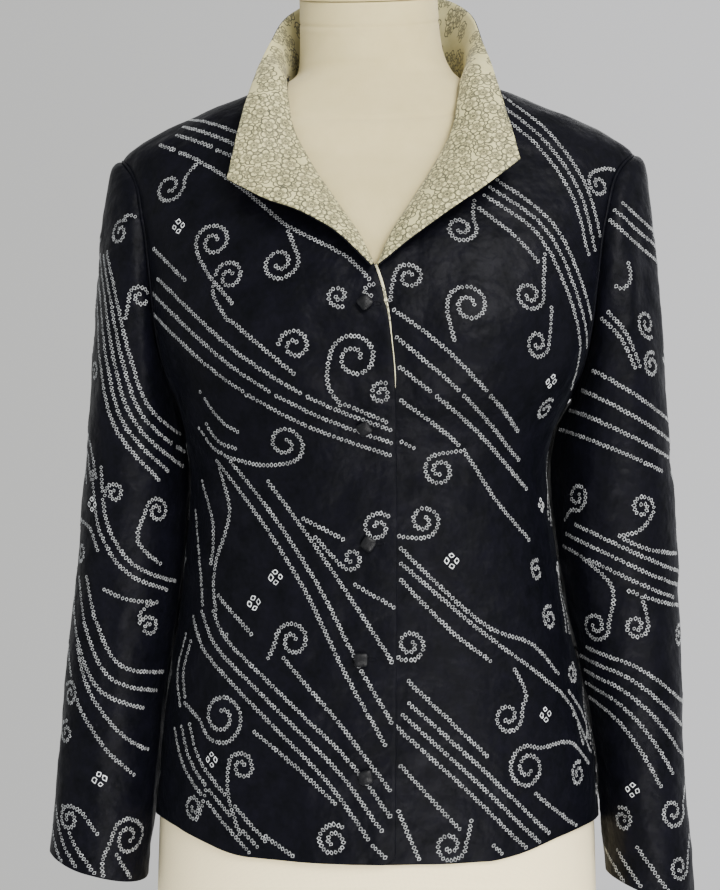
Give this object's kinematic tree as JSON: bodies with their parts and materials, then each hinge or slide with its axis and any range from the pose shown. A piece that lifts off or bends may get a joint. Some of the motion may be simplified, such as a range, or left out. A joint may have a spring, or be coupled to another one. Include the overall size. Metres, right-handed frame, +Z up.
{
  "type": "fitted long-sleeved silk jacket on a limbless dress form",
  "caption": "Fitted button-front jacket of black tie-dyed kimono silk, cream pointed stand-away collar, worn by a limbless dress form on a round base.",
  "frame": {"origin": "the middle of the base's underside, where the stand rests on the floor", "axes": "+Z up through the form, -Y the front of the jacket, +X the wearer's left"},
  "size_m": [0.5145, 0.42, 1.3941],
  "materials": {
    "silk_satin_black": "black silk satin, soft sheen, with small pale tie-dyed rings",
    "collar_silk_cream": "cream matt silk printed with fine flower outlines",
    "form_linen": "ecru linen canvas, matt, plain",
    "form_enamel": "satin stone-grey enamel"
  },
  "bodies": {
    "root": {"form_base": "form_enamel", "form_pole": "form_enamel", "form_torso": "form_linen", "form_neck_cap": "form_linen", "jacket_back": "silk_satin_black", "jacket_front_right": "silk_satin_black", "jacket_front_left": "silk_satin_black", "sleeve_right_cap": "silk_satin_black", "sleeve_right_upper": "silk_satin_black", "sleeve_right_forearm": "silk_satin_black", "sleeve_left_cap": "silk_satin_black", "sleeve_left_upper": "silk_satin_black", "sleeve_left_forearm": "silk_satin_black", "under_collar": "silk_satin_black", "collar": "collar_silk_cream", "front_facing": "collar_silk_cream", "button_1": "silk_satin_black", "button_2": "silk_satin_black", "button_3": "silk_satin_black", "button_4": "silk_satin_black", "button_5": "silk_satin_black"}
  },
  "joints": []
}
